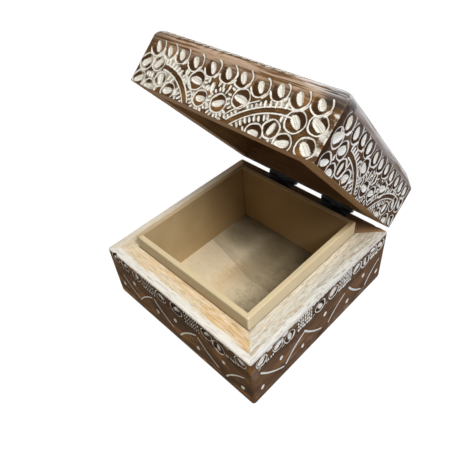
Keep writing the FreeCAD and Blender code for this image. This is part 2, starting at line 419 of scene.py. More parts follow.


# Ornament of the lid sides, in millimetres across from the middle and up from the lower edge, and in degrees.
# ground: darkness of the pale side of a ring's ground, from stain; the other side is darker still as painted
# shade. dark: share of all that darkness that is left.
# haze: how much the ground pales and the filler smears towards the left. line: width of the row's lines.
# filling: pitch across and up of the strokes on bare wood. row: places of the rings along the upper edge.
# ring: angles at which the lines of these rings start and end.
# eyes: place, ring radius, angle of the seed and half the seed's length and width. seeds: without a ring.
# stems: centre and radius of an arc, and the angles at which it starts and ends.
LID_SIDES = {
    "front": {
        "ground": 0.3,
        "dark": 0.86,
        "haze": 0.3,
        "line": 1.0,
        "filling": (1.8, 2.3),
        "row": (
            (-43.9, 18.0), (-36.0, 18.1), (-28.2, 18.4), (-19.3, 17.7), (-9.2, 17.7), (-0.7, 17.7),
            (7.1, 18.2), (16.3, 17.1), (24.8, 18.2), (33.7, 18.0), (42.8, 18.8)),
        "ring": (-168, 74),
        "eyes": (
            (-46.4, 10.4, 3.8, 38, 2.6, 1.5), (-39.0, 11.6, 3.6, 57, 2.9, 1.7),
            (-46.4, 2.2, 3.7, 31, 2.6, 1.45), (-38.8, 0.6, 3.4, 0, 2.4, 1.3),
            (-33.7, 5.2, 3.2, 110, 2.5, 1.3), (-26.6, 2.2, 3.8, 14, 2.8, 1.5),
            (-14.3, 10.7, 4.1, -8, 3.2, 1.6), (10.6, 10.5, 4.0, -12, 3.3, 1.5),
            (-8.1, 4.8, 3.4, 5, 2.6, 1.35), (1.4, 5.7, 3.8, 25, 2.7, 1.45),
            (44.9, 11.6, 3.9, -35, 3.0, 1.5), (36.6, 9.9, 4.1, -39, 3.0, 1.6),
            (44.9, 3.0, 3.9, -39, 2.8, 1.5), (29.2, 4.8, 3.5, 84, 2.4, 1.3), (35.9, 1.4, 3.7, 12, 2.8, 1.4),
            (23.1, 0.6, 3.8, -8, 2.6, 1.35)),
        "seeds": ((-4.6, 10.5, 95, 2.2, 0.95),),
        "stems": ((-34.7, -13.9, 24.9, 90, 34), (34.9, -20.3, 32.5, 90, 141)),
    },
    "right": {
        "ground": 0.8,
        "dark": 1.0,
        "haze": 0.0,
        "line": 0.8,
        "filling": (2.3, 2.7),
        "row": (
            (-42.9, 18.2), (-34.0, 17.9), (-26.2, 18.2), (-18.7, 18.2), (-8.5, 17.9), (0.3, 17.9),
            (8.5, 18.1), (17.3, 18.3), (26.6, 18.4), (34.7, 18.4), (42.8, 18.3)),
        "ring": (-230, 80),
        "eyes": (
            (-45.2, 11.6, 3.9, 36, 3.1, 1.8), (-37.6, 9.8, 3.6, 30, 2.8, 1.6),
            (-45.2, 2.5, 3.9, 25, 2.8, 1.5), (-31.6, 5.0, 3.8, 92, 2.6, 1.5),
            (-38.1, 0.7, 3.4, 0, 2.4, 1.3), (-24.2, 3.0, 3.5, 42, 2.6, 1.45),
            (-13.6, 11.2, 4.0, -14, 3.1, 1.6), (15.3, 11.0, 4.0, 12, 3.1, 1.6),
            (-3.1, 5.1, 3.7, 0, 2.7, 1.45), (5.8, 6.0, 3.6, 20, 2.6, 1.4), (1.0, 11.2, 2.7, 95, 2.3, 1.0),
            (45.2, 11.5, 3.9, -32, 2.7, 1.45), (37.6, 9.8, 3.7, -40, 2.8, 1.6),
            (45.3, 2.3, 3.8, -32, 2.5, 1.4), (29.3, 5.4, 3.4, 85, 2.4, 1.25),
            (37.2, 1.2, 3.5, 15, 2.6, 1.4), (24.6, 0.6, 3.6, 8, 2.5, 1.4)),
        "seeds": (),
        "stems": ((-31.6, -14.8, 25.6, 90, 35), (35.9, -22.1, 34.4, 90, 140)),
    },
}
STEM_HALF_WIDTH = 1.3
ROSETTE_REACH = 20

# Eye of the row along the upper edge without its place, and the angle of its dark side
ROW_EYE = (4.05, 124, 2.6, 1.45)
ROW_DARK_SIDE = -130

# Combs of short strokes: their pitch, and half the length and width of a stroke
FOOT_COMB = (1.5, 0.9, 0.45)
TOP_COMB = (1.85, 1.4, 0.6)
INNER_COMB = (1.75, 1.3, 0.52)
ROSETTE_COMB = (1.7, 1.0, 0.5)


def carve_lid_side(face, layout):
    """Row of rings, seeds at both ends, two arching stems and a half rosette between them."""
    start, end = layout["ring"]
    for x, y in layout["row"]:
        face.eye(x, y, *ROW_EYE, start, end, layout["line"], ROW_DARK_SIDE)
        face.seed(x + 3.4, y - 2.5, angle=52, half_length=1.7, half_width=layout["line"] * 0.7)
    for eye in layout["eyes"]:
        face.eye(*eye)
    for seed in layout["seeds"]:
        face.seed(*seed)
    for x, y, radius, top, foot in layout["stems"]:
        face.stem(x, y, radius, STEM_HALF_WIDTH, top, foot)
    for x, y, radius, top, foot in layout["stems"]:
        middle = (top + foot) / 2
        outside = radius + STEM_HALF_WIDTH
        face.arc(x, y, outside + 2.4, middle, foot)
        face.ticks(x, y, outside + 1.2, middle, foot, *FOOT_COMB)
        face.ticks(x, y, outside + 1.1, top, middle, *TOP_COMB)
        face.ticks(x, y, radius - STEM_HALF_WIDTH - 1.6, top, foot, *INNER_COMB)
    for x, y, radius, *_ in layout["eyes"]:
        if abs(x) < ROSETTE_REACH:
            face.ticks(x, y, radius + 1.5, -180, 172, *ROSETTE_COMB)
    face.hatch(-39.8, 5.8, columns=4, rows=1, pitch=1.7, row_pitch=2.6, angle=100)
    pitch, row_pitch = layout["filling"]
    face.filling(reach_x=38, low=0.9, high=13.5, pitch=pitch, row_pitch=row_pitch, reach=0.6)
    haze = layout["haze"] * smooth(-14, -34, face.across)
    face.ground *= layout["dark"] * (1 - haze)
    face.smear = 1 + 2 * haze


# Ornament of the base sides, up from the underside, with ground, eyes and seeds as on the lid.
# hatches: middles of the hatched blocks. lean: angle of their strokes. stroke: width of the wave's strokes.
# strokes: the two ends of each and its bulge to the left. dots: places of the short seeds beside the wave.
BASE_SIDES = {
    "front": {
        "ground": 0.7,
        "eyes": (
            (-44.6, 32.9, 3.2, 25, 2.4, 1.3), (-36.8, 32.2, 3.2, 30, 2.4, 1.3),
            (-27.9, 30.6, 3.3, 97, 2.4, 1.25), (-8.5, 30.5, 3.8, -25, 2.6, 1.4),
            (3.1, 30.4, 4.1, 22, 2.7, 1.4), (23.8, 30.8, 3.5, 35, 2.5, 1.3),
            (31.3, 28.1, 3.7, 88, 2.5, 1.3), (44.9, 31.6, 3.3, -33, 2.5, 1.3)),
        "seeds": ((36.9, 33.7, 8, 2.0, 0.9), (30.2, 34.2, 15, 1.6, 0.8)),
        "hatches": ((-18.6, 30.2), (13.6, 30.2)),
        "lean": 76,
        "stroke": 1.5,
        "strokes": (
            ((-31.0, 9.3), (-17.0, 22.3), 1.3), ((1.4, 8.2), (15.6, 22.0), 1.3),
            ((33.7, 7.0), (46.9, 20.6), 1.2), ((-30.6, 10.4), (-42.5, 21.4), 1.0),
            ((-3.1, 10.7), (-16.0, 22.8), 1.1), ((29.6, 8.7), (16.3, 21.8), 1.2)),
        "dots": (
            (-32.8, 21.2), (-0.1, 19.2), (33.2, 18.3), (-44.6, 12.4), (-15.6, 12.1), (15.0, 10.4),
            (44.7, 10.0)),
    },
    "right": {
        "ground": 0.85,
        "eyes": (
            (-44.2, 31.2, 3.4, 40, 2.5, 1.35), (-34.0, 30.6, 3.3, 28, 2.6, 1.4),
            (-26.2, 28.9, 3.5, 112, 2.5, 1.25), (-4.4, 29.2, 3.8, -43, 2.6, 1.35),
            (6.1, 29.5, 3.8, 35, 2.6, 1.4), (25.2, 30.4, 3.4, 35, 2.5, 1.3),
            (32.3, 28.4, 3.4, 108, 2.4, 1.25), (38.4, 31.8, 2.7, -10, 2.0, 1.1),
            (45.6, 30.4, 3.2, -25, 2.4, 1.3)),
        "seeds": ((-29.0, 34.0, 8, 2.0, 0.9), (-39.0, 34.2, 0, 1.7, 0.8)),
        "hatches": ((-15.3, 30.2), (15.6, 30.2)),
        "lean": 106,
        "stroke": 2.0,
        "strokes": (
            ((-28.9, 9.0), (-15.5, 20.6), 1.1), ((3.6, 7.6), (16.6, 18.8), 1.1),
            ((35.6, 7.4), (47.0, 19.6), 1.1), ((-29.6, 8.6), (-45.6, 23.2), 1.2),
            ((-1.4, 8.8), (-15.9, 22.0), 1.2), ((32.2, 8.0), (19.4, 20.9), 1.1)),
        "dots": (
            (-32.0, 18.5), (0.3, 18.0), (32.7, 18.0), (-44.6, 9.8), (-16.1, 10.2), (19.6, 9.6),
            (46.4, 9.8)),
    },
}

# Height of the line between the band and the wave
BAND_FOOT = 25.2


def carve_base_side(face, layout):
    """Band of rings and hatching under the rim, and a broken wave with dots below it."""
    for eye in layout["eyes"]:
        face.eye(*eye)
    for seed in layout["seeds"]:
        face.seed(*seed)
    for x, y in layout["hatches"]:
        face.hatch(x, y, columns=7, rows=4, pitch=1.5, row_pitch=2.45, angle=layout["lean"])
    face.hatch(39.6, 27.2, columns=6, rows=1, pitch=1.4, row_pitch=2.5, angle=90)
    face.hatch(-38.6, 27.6, columns=5, rows=1, pitch=1.5, row_pitch=2.0, angle=90, half_width=0.36)
    for x in np.arange(-46, CARVED_HALF, 3.1):
        for y in (26.6, 34.6):
            if face.is_bare(x, y, 0.9):
                face.seed(x, y, angle=20, half_length=1.1, half_width=0.4, filler=0.8)
    face.bow((-50, BAND_FOOT), (50, BAND_FOOT), sag=0.05, filler=0.42, width=0.7)
    for start, end, sag in layout["strokes"]:
        face.bow(start, end, sag, width=layout["stroke"])
    for x, y in layout["dots"]:
        face.seed(x, y, angle=75, half_length=1.55, half_width=1.15)


# Half side of the flat part of the lid's top, radius of its medallion and rings in a side of its border
TOP_FLAT = 46.5
MEDALLION = 27.0
BORDER_RINGS = 10

# Eyes in a corner of the top: their places and angles
CORNER_EYES = ((29.6, 29.6, 45), (33.2, 21.2, 100), (21.2, 33.2, -10), (23.0, 23.0, 135))


def carve_lid_top(face):
    """Border of rings, a round medallion with petals, seeds in each corner and nicks along the edges."""
    border = TOP_FLAT - 4.6
    pitch = border * 2 / BORDER_RINGS
    for number in range(BORDER_RINGS):
        for turn in range(4):
            x, y = quarter_turn(-border + pitch * number, border, turn)
            face.eye(x, y, 3.7, 127 - 90 * turn, 2.4, 1.25)
    face.eye(0, 0, 4.2, 60, 2.8, 1.6)
    for angle in range(0, 360, 45):
        face.eye(*polar(9.6, angle), 3.6, angle, 2.8, 1.45)
        face.eye(*polar(18.4, angle + 22.5), 4.3, angle + 22.5, 3.3, 1.7)
    face.stem(0, 0, MEDALLION - STEM_HALF_WIDTH, STEM_HALF_WIDTH, -180, 180)
    for radius in (13.4, 16.4, 21.6, 23.0):
        face.ticks(0, 0, radius, -180, 177, pitch=1.5, half_length=1.1)
    for turn in range(4):
        for x, y, angle in CORNER_EYES:
            x, y = quarter_turn(x, y, turn)
            face.eye(x, y, 3.6, angle - 90 * turn, 2.6, 1.4)
        face.eye(*quarter_turn(33.4, 0, turn), 3.4, 90 - 90 * turn, 2.4, 1.3)
    face.ticks(0, 0, MEDALLION + 1.9, -180, 178, pitch=1.5, half_length=1.3)
    for along in np.arange(-30, TOP_FLAT - 1, 4.4):
        for turn in (0, 2):
            x, y = quarter_turn(along, TOP_FLAT + 2.2, turn)
            face.seed(x, y, 19 - 90 * turn, half_length=4.4, half_width=0.48, shade=HATCH_SHADE)
    face.filling(reach_x=37.4, low=-37.4, high=37.5, pitch=1.6, row_pitch=2.3, reach=0.7)


def quarter_turn(x, y, turns):
    """Place turned clockwise about the middle by quarter turns."""
    for _ in range(turns):
        x, y = y, -x
    return x, y


def polar(radius, angle):
    """Place at a distance from the middle, at an angle in degrees."""
    return radius * math.cos(math.radians(angle)), radius * math.sin(math.radians(angle))


def read_vectors(values, field):
    """Vectors of a mesh as an array."""
    vectors = np.empty(len(values) * 3, np.float32)
    values.foreach_get(field, vectors)
    return vectors.reshape(-1, 3).astype(float)


def mesh_points(piece):
    """Points of a mesh."""
    return read_vectors(piece.data.vertices, "co")


def mesh_normals(piece):
    """Directions of a mesh at its points."""
    return read_vectors(piece.data.vertex_normals, "vector")


def stored_vectors(piece, name):
    """Vectors that were kept at the points."""
    return read_vectors(piece.data.attributes[name].data, "vector")


def place_points(piece, points):
    """Moves the points of a mesh."""
    piece.data.vertices.foreach_set("co", points.astype(np.float32).ravel())
    piece.data.update()


def selected_points(piece):
    """Which points of a mesh are selected."""
    chosen = np.empty(len(piece.data.vertices), bool)
    piece.data.vertices.foreach_get("select", chosen)
    return chosen


def store(piece, name, values):
    """Keeps a number or a vector at each point, for the finishes."""
    if values.ndim == 1:
        layer = piece.data.attributes.new(name, "FLOAT", "POINT")
        layer.data.foreach_set("value", values.astype(np.float32))
    else:
        layer = piece.data.attributes.new(name, "FLOAT_VECTOR", "POINT")
        layer.data.foreach_set("vector", values.astype(np.float32).ravel())


# Points on each side over which filler is smeared, and the shift of the grain from board to board in metres
SMEAR_REACH = 4
BOARD_SHIFT = (0.371, 0.113, 0.237)


def store_carving(piece, face, columns):
    """Keeps what the stain, the filler and the painted light and shade need at each point of a grid."""
    layers = {
        "filler": face.filler,
        "ground": np.maximum(face.ground, face.shade),
        "groove": face.groove,
        "smear": spread(face.filler, columns, SMEAR_REACH) * face.smear,
        "crown": face.crown,
        "rim": face.rim,
        "sheen": face.sheen,
        "warmth": face.warmth,
    }
    for name, values in layers.items():
        store(piece, name, values)


def store_board(piece, order, number):
    """Keeps coordinates that run along the grain, shifted for each board."""
    shift = np.array(BOARD_SHIFT) * (number + 1)
    store(piece, "board", mesh_points(piece)[:, order] + shift)


def new_grid(name, columns, rows):
    """Flat grid of side 1 about the origin, selected alone."""
    bpy.ops.object.select_all(action="DESELECT")
    bpy.ops.mesh.primitive_grid_add(x_subdivisions=columns, y_subdivisions=rows, size=1)
    grid = bpy.context.object
    grid.name = name
    grid.data.name = name
    return grid


def extrude_border(first):
    """Grows a new row of faces from the border, which is found first, and leaves its points selected."""
    bpy.ops.object.mode_set(mode="EDIT")
    if first:
        bpy.ops.mesh.select_mode(type="EDGE")
        bpy.ops.mesh.select_all(action="SELECT")
        bpy.ops.mesh.region_to_loop()
    bpy.ops.mesh.extrude_region_move()
    bpy.ops.object.mode_set(mode="OBJECT")


# Angle between two faces up to which they are shaded as one
SMOOTH_ANGLE = math.radians(40)


def close_border(piece):
    """Fills the selected border and turns all faces outwards."""
    bpy.ops.object.mode_set(mode="EDIT")
    bpy.ops.mesh.edge_face_add()
    bpy.ops.mesh.select_all(action="SELECT")
    bpy.ops.mesh.normals_make_consistent(inside=False)
    bpy.ops.object.mode_set(mode="OBJECT")
    bpy.ops.object.shade_smooth_by_angle(angle=SMOOTH_ANGLE)
    closing_face = max(piece.data.polygons, key=lambda face: len(face.vertices))
    closing_face.use_smooth = False


def round_edge(distance, straight, radius):
    """Run and inset of points that follow a straight stretch and then turn round an edge."""
    turn = np.maximum(distance - straight, 0) / radius
    return np.minimum(distance, straight) + radius * np.sin(turn), radius * (1 - np.cos(turn))


def rounded_face(points, height, easings):
    """Bends a flat grid of side 1 to the outer face of a wall: places across and up, and insets.

    The easings round the lower and the upper edge.
    """
    corner = bpy.context.scene.keepsake_carving.corner
    straight = HALF - corner
    run, inset = round_edge(np.abs(points[:, 0]) * 2 * (straight + corner * math.pi / 4), straight, corner)
    rise = np.zeros(len(points))
    for half, easing in zip((points[:, 1] < 0, points[:, 1] >= 0), easings):
        straight_up = height / 2 - easing
        reach = straight_up + easing * math.pi / 2
        rise[half], edge_inset = round_edge(np.abs(points[half, 1]) * 2 * reach, straight_up, easing)
        run[half] *= (HALF - edge_inset) / HALF
        inset[half] += edge_inset
    return np.sign(points[:, 0]) * run, np.sign(points[:, 1]) * rise, inset


def wear_lid_side(face, side, below_top):
    """Rubs the top of a lid side pale, paints a sheen as a reflection near the front right corner, and
    darkens its ends, the right side more towards its front.

    Ranges are in millimetres across from the middle of the side and down from its top.
    """
    face.relief = smooth(0.0, 1.5, below_top)
    face.crown = 0.65 * smooth(5.5, 0.0, below_top)
    if side == "front":
        face.rim = 0.5 * smooth(45.0, 49.0, face.across) * smooth(0.5, 5.0, below_top)
        face.sheen = smooth(33, 45, face.across) * smooth(7.0, 1.0, below_top)
        face.darken(0.75 * smooth(-36, -48, face.across) * smooth(8.0, 0.0, below_top))
    if side == "right":
        face.sheen = 0.5 * smooth(-44, -49, face.across) * smooth(5.0, 0.0, below_top)
        face.darken(smooth(-46.6, -48.2, face.across))
        face.darken(0.14 + 0.4 * smooth(20, -30, face.across))


def wear_base_side(face, side, below_top):
    """Rubs filler into the top of a base side, and dulls the front with painted shade: darker stain, dimmer
    filler in its band and less smear.
    """
    face.rim = smooth(1.6, 0.0, below_top) * (1 - 0.8 * np.clip(face.ground, 0, 1))
    face.smear = 0.1 if side == "front" else 1.2
    if side == "front":
        # Painted shade on the front: darker stain and dimmer filler in the band
        face.darken(0.32)
        face.filler[face.up > BAND_FOOT] *= 0.58


# Distances from the ends of a wall between which the cuts run out, in millimetres
END_MARGIN = (0.3, 1.4)


def carved_wall(name, box, datum, number, layouts, carve, wear, easings):
    """Mitred board in the place of the front one, with its outer face rounded, carved and closed.

    The ornament's heights start at the datum. Opposite sides share a layout.
    """
    cell = bpy.context.scene.keepsake_carving.cell
    low, high = box[0].z, box[1].z
    side = SIDES[number % len(SIDES)]
    layout = layouts[SIDES[number % len(layouts)]]
    columns = round(2 * HALF / cell)
    wall = new_grid(name, columns, round((high - low) / cell))
    across, rise, inset = rounded_face(mesh_points(wall), high - low, easings)
    up = (low + high) / 2 + rise
    warmth = np.full(len(up), SIDE_WARMTH[side])
    face = Carving(across / MM, (up - datum) / MM, warmth, number, layout["ground"])
    carve(face, layout)
    wear(face, side, (high - up) / MM)
    face.fade(smooth(*END_MARGIN, (HALF - np.abs(across)) / MM))
    place_points(wall, np.column_stack([across, inset - HALF + face.depth * face.relief * MM, up]))
    store_carving(wall, face, columns + 1)
    outer_faces = len(wall.data.polygons)
    close_wall(wall, HALF - (box[1].y - box[0].y))
    store_board(wall, [0, 2, 1], number)
    return wall, outer_faces


# Points of the border that lie this near to a wall's ends, in millimetres, run to the inner corners
MITRE_REACH = 0.7


def close_wall(wall, inner):
    """Takes the border of an outer face back along the mitres to the inner face, and closes it there."""
    extrude_border(first=True)
    points = mesh_points(wall)
    border = selected_points(wall)
    points[border, 0] = np.clip(points[border, 0] * inner / (HALF - MITRE_REACH * MM), -inner, inner)
    points[border, 1] = -inner
    place_points(wall, points)
    close_border(wall)


# Share of a direction from which a face counts as turned that way, and as level
FACING = 0.7
LEVEL = 0.9


def assign_wall_finishes(wall, outer_faces, outer, top, bottom, inner):
    """Gives each side of a wall its own finish, before the wall is turned to its place."""
    for finish in (outer, top, bottom, inner):
        wall.data.materials.append(finish)
    for face in wall.data.polygons:
        if face.index < outer_faces:
            continue
        if face.normal.z > FACING:
            face.material_index = 1
        elif face.normal.z < -FACING:
            face.material_index = 2
        elif face.normal.y > FACING:
            face.material_index = 3


def cut_leaf_pockets(wall, leaf_boxes, low, high):
    """Cuts a shallow pocket for each hinge leaf, open to the back."""
    clearance = bpy.context.scene.keepsake_carving.leaf_clearance
    beyond_back = 1.2 * HALF
    for leaf_low, leaf_high in leaf_boxes:
        bpy.ops.object.select_all(action="DESELECT")
        start = Vector((leaf_low.x - clearance, leaf_low.y - clearance, low))
        end = Vector((leaf_high.x + clearance, beyond_back, high))
        bpy.ops.mesh.primitive_cube_add(size=1, location=(start + end) / 2, scale=end - start)
        cutter = bpy.context.object
        pocket = wall.modifiers.new("pocket", "BOOLEAN")
        pocket.operation = "DIFFERENCE"
        pocket.solver = "EXACT"
        pocket.object = cutter
        bpy.ops.object.select_all(action="DESELECT")
        bpy.context.view_layer.objects.active = wall
        wall.select_set(True)
        bpy.ops.object.modifier_apply(modifier=pocket.name)
        cutter_mesh = cutter.data
        bpy.data.objects.remove(cutter)
        bpy.data.meshes.remove(cutter_mesh)


def rounded_square(square, half, radius):
    """Points of the outline of a square of half side 1 on a square with round corners."""
    half, radius = np.broadcast_to(half, len(square))[:, None], np.broadcast_to(radius, len(square))[:, None]
    reach = np.abs(square) * half
    past = np.maximum(reach - (half - radius), 0)
    distance = np.hypot(past[:, 0], past[:, 1])
    in_corner = (past > 0).all(axis=1)
    past[in_corner] *= (past.max(axis=1)[in_corner] / distance[in_corner])[:, None]
    return np.sign(square) * (np.minimum(reach, half - radius) + past)


# Share of the half side from which the warmth of a board's edge follows the side below it
EDGE_START = 0.94


def board_warmth(outline, front, edge_share):
    """Warmth of a board that follows the sides below it along its edges."""
    toward = np.column_stack([front * outline[:, 1], outline[:, 0], -front * outline[:, 1], -outline[:, 0]])
    weights = np.maximum(toward - EDGE_START, 0) + 1e-6
    along_edges = weights @ np.array([SIDE_WARMTH[side] for side in SIDES]) / weights.sum(axis=1)
    return MIDDLE_WARMTH + (along_edges - MIDDLE_WARMTH) * edge_share


def wear_lid_top(face, sides, edge_share, turned):
    """Rubs the rounded edge pale, paints a sheen as a reflection at the right end of its front, and darkens
    the left end.

    The sides are places in millimetres from the middle of the top.
    """
    face.crown = 0.2 + edge_share * (0.8 - 0.35 * turned)
    front_edge = edge_share * smooth(38, 46, -sides[:, 1])
    face.sheen = front_edge * smooth(20, 47, sides[:, 0])
    face.darken(0.6 * front_edge * smooth(-34, -47, sides[:, 0]))


# Back corners of the lid's top: how much wider they are rounded, and how far they slope down within a reach
BACK_CORNER_WIDENING = 1.3
BACK_CORNER_SLOPE = 0.5
BACK_CORNER_REACH = 15

# Darkness of the ground of the rings on a board
BOARD_GROUND = 0.3


def capped_board(name, cells, low, high, rounding, number, front, ornament=None):
    """Full-size board with a rounded upper edge, its top and edge carved where an ornament is given.

    The front of the box lies towards +Y where front is 1, and towards -Y where it is -1.
    """
    settings = bpy.context.scene.keepsake_carving
    board = new_grid(name, cells, cells)
    square = mesh_points(board) * 2
    ring = np.maximum(np.abs(square).max(axis=1), 1e-9)
    outline = square[:, :2] / ring[:, None]
    store(board, "outline", np.column_stack([outline, np.zeros(len(ring))]))
    flat_half = HALF - rounding
    bend = rounding * math.pi / 2
    run = ring * (flat_half + bend)
    half, drop = round_edge(run, flat_half, rounding)
    turned = np.clip((run - flat_half) / bend, 0, 1)
    widening = BACK_CORNER_WIDENING * smooth(0.3, 1.0, -front * outline[:, 1]) if ornament else 0
    top_corner = settings.top_corner * (1 + widening)
    corner = top_corner * smooth(0.5, 1.0, run / flat_half)
    corner += (settings.corner - top_corner) * turned
    sides = rounded_square(outline, half, np.minimum(corner, half))
    level = high - drop
    if ornament:
        from_corner = np.hypot(HALF - np.abs(sides[:, 0]), HALF + front * sides[:, 1]) / MM
        level = low + (level - low) * (1 - BACK_CORNER_SLOPE * smooth(BACK_CORNER_REACH, 0, from_corner))
    place_points(board, np.column_stack([sides, level]))
    unrolled = outline * run[:, None] / MM
    edge_share = smooth(-4.0, 1.0, (run - flat_half) / MM)
    warmth = board_warmth(outline, front, edge_share)
    face = Carving(unrolled[:, 0], unrolled[:, 1], warmth, number, BOARD_GROUND)
    if ornament:
        ornament(face)
        wear_lid_top(face, sides / MM, edge_share, turned)
    face.fade(smooth(0.0, 1.0, (run.max() - run) / MM))
    place_points(board, mesh_points(board) - mesh_normals(board) * (face.depth * face.relief * MM)[:, None])
    store_carving(board, face, cells + 1)
    close_board(board, low)
    store_board(board, [0, 1, 2], number)
    return board


def close_board(board, low):
    """Takes the border of a board straight down to its lower face, with an eased edge, and closes it."""
    settings = bpy.context.scene.keepsake_carving
    loops = ((HALF, low + settings.seam_easing), (HALF - settings.seam_easing, low))
    for step, (half, level) in enumerate(loops):
        extrude_border(first=step == 0)
        points = mesh_points(board)
        border = selected_points(board)
        sides = rounded_square(stored_vectors(board, "outline")[border, :2], half, settings.corner)
        points[border] = np.column_stack([sides, np.full(len(sides), level)])
        place_points(board, points)
    close_border(board)


# Width in millimetres of the end grain along an edge of the top, and what counts as above its lower face
END_GRAIN_WIDTH = 4.5
ABOVE_FACE = 0.01


def turn_end_grain(board):
    """Lets the grain follow the edge along the two end-grain sides of a board."""
    layer = board.data.attributes["board"]
    along = stored_vectors(board, "board")
    outline = stored_vectors(board, "outline")
    points = mesh_points(board)
    ends = np.abs(outline[:, 0]) > np.abs(outline[:, 1])
    ends &= np.abs(points[:, 0]) > HALF - END_GRAIN_WIDTH * MM
    ends &= points[:, 2] > lid_top_low.z + ABOVE_FACE * MM
    along[ends] = along[ends][:, [1, 0, 2]]
    layer.data.foreach_set("vector", along.astype(np.float32).ravel())


class Value:
    """Socket of a node. Sums on it add Math nodes."""

    def __init__(self, nodes, socket):
        self.nodes = nodes
        self.socket = socket

    def math(self, operation, first, second=0.0):
        return self.nodes.add("ShaderNodeMath", {"operation": operation}, {0: first, 1: second})

    def __add__(self, other):
        return self.math("ADD", self, other)

    def __radd__(self, other):
        return self.math("ADD", other, self)

    def __sub__(self, other):
        return self.math("SUBTRACT", self, other)

    def __rsub__(self, other):
        return self.math("SUBTRACT", other, self)

    def __mul__(self, other):
        return self.math("MULTIPLY", self, other)

    def __rmul__(self, other):
        return self.math("MULTIPLY", other, self)

    def __abs__(self):
        return self.math("ABSOLUTE", self)

    def larger(self, other):
        return self.math("MAXIMUM", self, other)

    def smaller(self, other):
        return self.math("MINIMUM", self, other)

    def step(self, low, high):
        """Soft step from 0 at low to 1 at high."""
        inputs = {"Value": self, "From Min": low, "From Max": high}
        return self.nodes.add("ShaderNodeMapRange", {"interpolation_type": "SMOOTHSTEP"}, inputs)


class Nodes:
    """Node tree that is filled from Python expressions."""

    def __init__(self, tree):
        self.tree = tree
        self.tree.nodes.clear()

    def add(self, kind, settings=None, inputs=None, output=0):
        """Adds a node, sets it up, feeds its sockets and gives one of its outputs."""
        node = self.tree.nodes.new(kind)
        for setting, choice in (settings or {}).items():
            setattr(node, setting, choice)
        for socket, feed in (inputs or {}).items():
            if isinstance(feed, Value):
                self.tree.links.new(feed.socket, node.inputs[socket])
            else:
                node.inputs[socket].default_value = feed
        return Value(self, node.outputs[output]) if len(node.outputs) else None

    def seen_share(self):
        """1 for what the camera sees, straight or mirrored, and 0 for light that lights other things."""
        seen = self.add("ShaderNodeLightPath", output="Is Camera Ray")
        for ray in ("Is Glossy Ray", "Is Transmission Ray"):
            seen = seen.larger(self.add("ShaderNodeLightPath", output=ray))
        return seen


class Finish(Nodes):
    """Material whose nodes are added by name."""

    def __init__(self, name):
        self.material = bpy.data.materials.new(name)
        self.material.use_nodes = True
        super().__init__(self.material.node_tree)

    def stored(self, name, output=2):
        """Number that a piece keeps at its points, or a vector with output 1."""
        return self.add("ShaderNodeAttribute", {"attribute_name": name}, output=output)

    def place(self):
        """Place on the object, in metres."""
        return self.add("ShaderNodeTexCoord", output="Object")

    def millimetres(self):
        """Place on the object as three numbers in millimetres."""
        place = self.place()
        axes = [self.add("ShaderNodeSeparateXYZ", None, {0: place}, output=axis) for axis in "XYZ"]
        return [axis * (1 / MM) for axis in axes]

    def noise(self, place, stretch, detail=3.0, roughness=0.55, distortion=0.0):
        """Cloudy value between 0 and 1, with its own stretch along each axis."""
        stretched = self.add("ShaderNodeVectorMath", {"operation": "MULTIPLY"}, {0: place, 1: stretch})
        inputs = {"Vector": stretched, "Scale": 1.0, "Detail": detail, "Roughness": roughness,
                  "Distortion": distortion}
        return self.add("ShaderNodeTexNoise", {"noise_dimensions": "3D"}, inputs)

    def grain(self, board):
        """Fine streaks, broad figure and mottling that run along a board."""
        streaks = self.noise(board, (45, 1500, 1500), 4, 0.65)
        figure = self.noise(board, (14, 130, 130), 4, 0.6, 0.8)
        mottle = self.noise(board, (90, 120, 120), 2)
        return streaks, figure, mottle

    def mix(self, share, first, second):
        """Colour between two colours."""
        first, second = (c if isinstance(c, Value) else (*c, 1.0) for c in (first, second))
        inputs = {0: share, 6: first, 7: second}
        return self.add("ShaderNodeMix", {"data_type": "RGBA", "clamp_factor": True}, inputs, output=2)

    def layers(self, colour, *coats):
        """Colour under coats that are laid one after the other, each by its share."""
        for share, coat in coats:
            colour = self.mix(share, colour, coat)
        return colour

    def bump(self, height, strength, distance):
        """Small relief of the surface, with its full height in metres."""
        inputs = {"Strength": strength, "Distance": distance, "Height": height}
        return self.add("ShaderNodeBump", None, inputs)

    def surface(self, inputs):
        """Ends the material in one surface."""
        shader = self.add("ShaderNodeBsdfPrincipled", None, inputs)
        self.add("ShaderNodeOutputMaterial", None, {"Surface": shader})
        return self.material


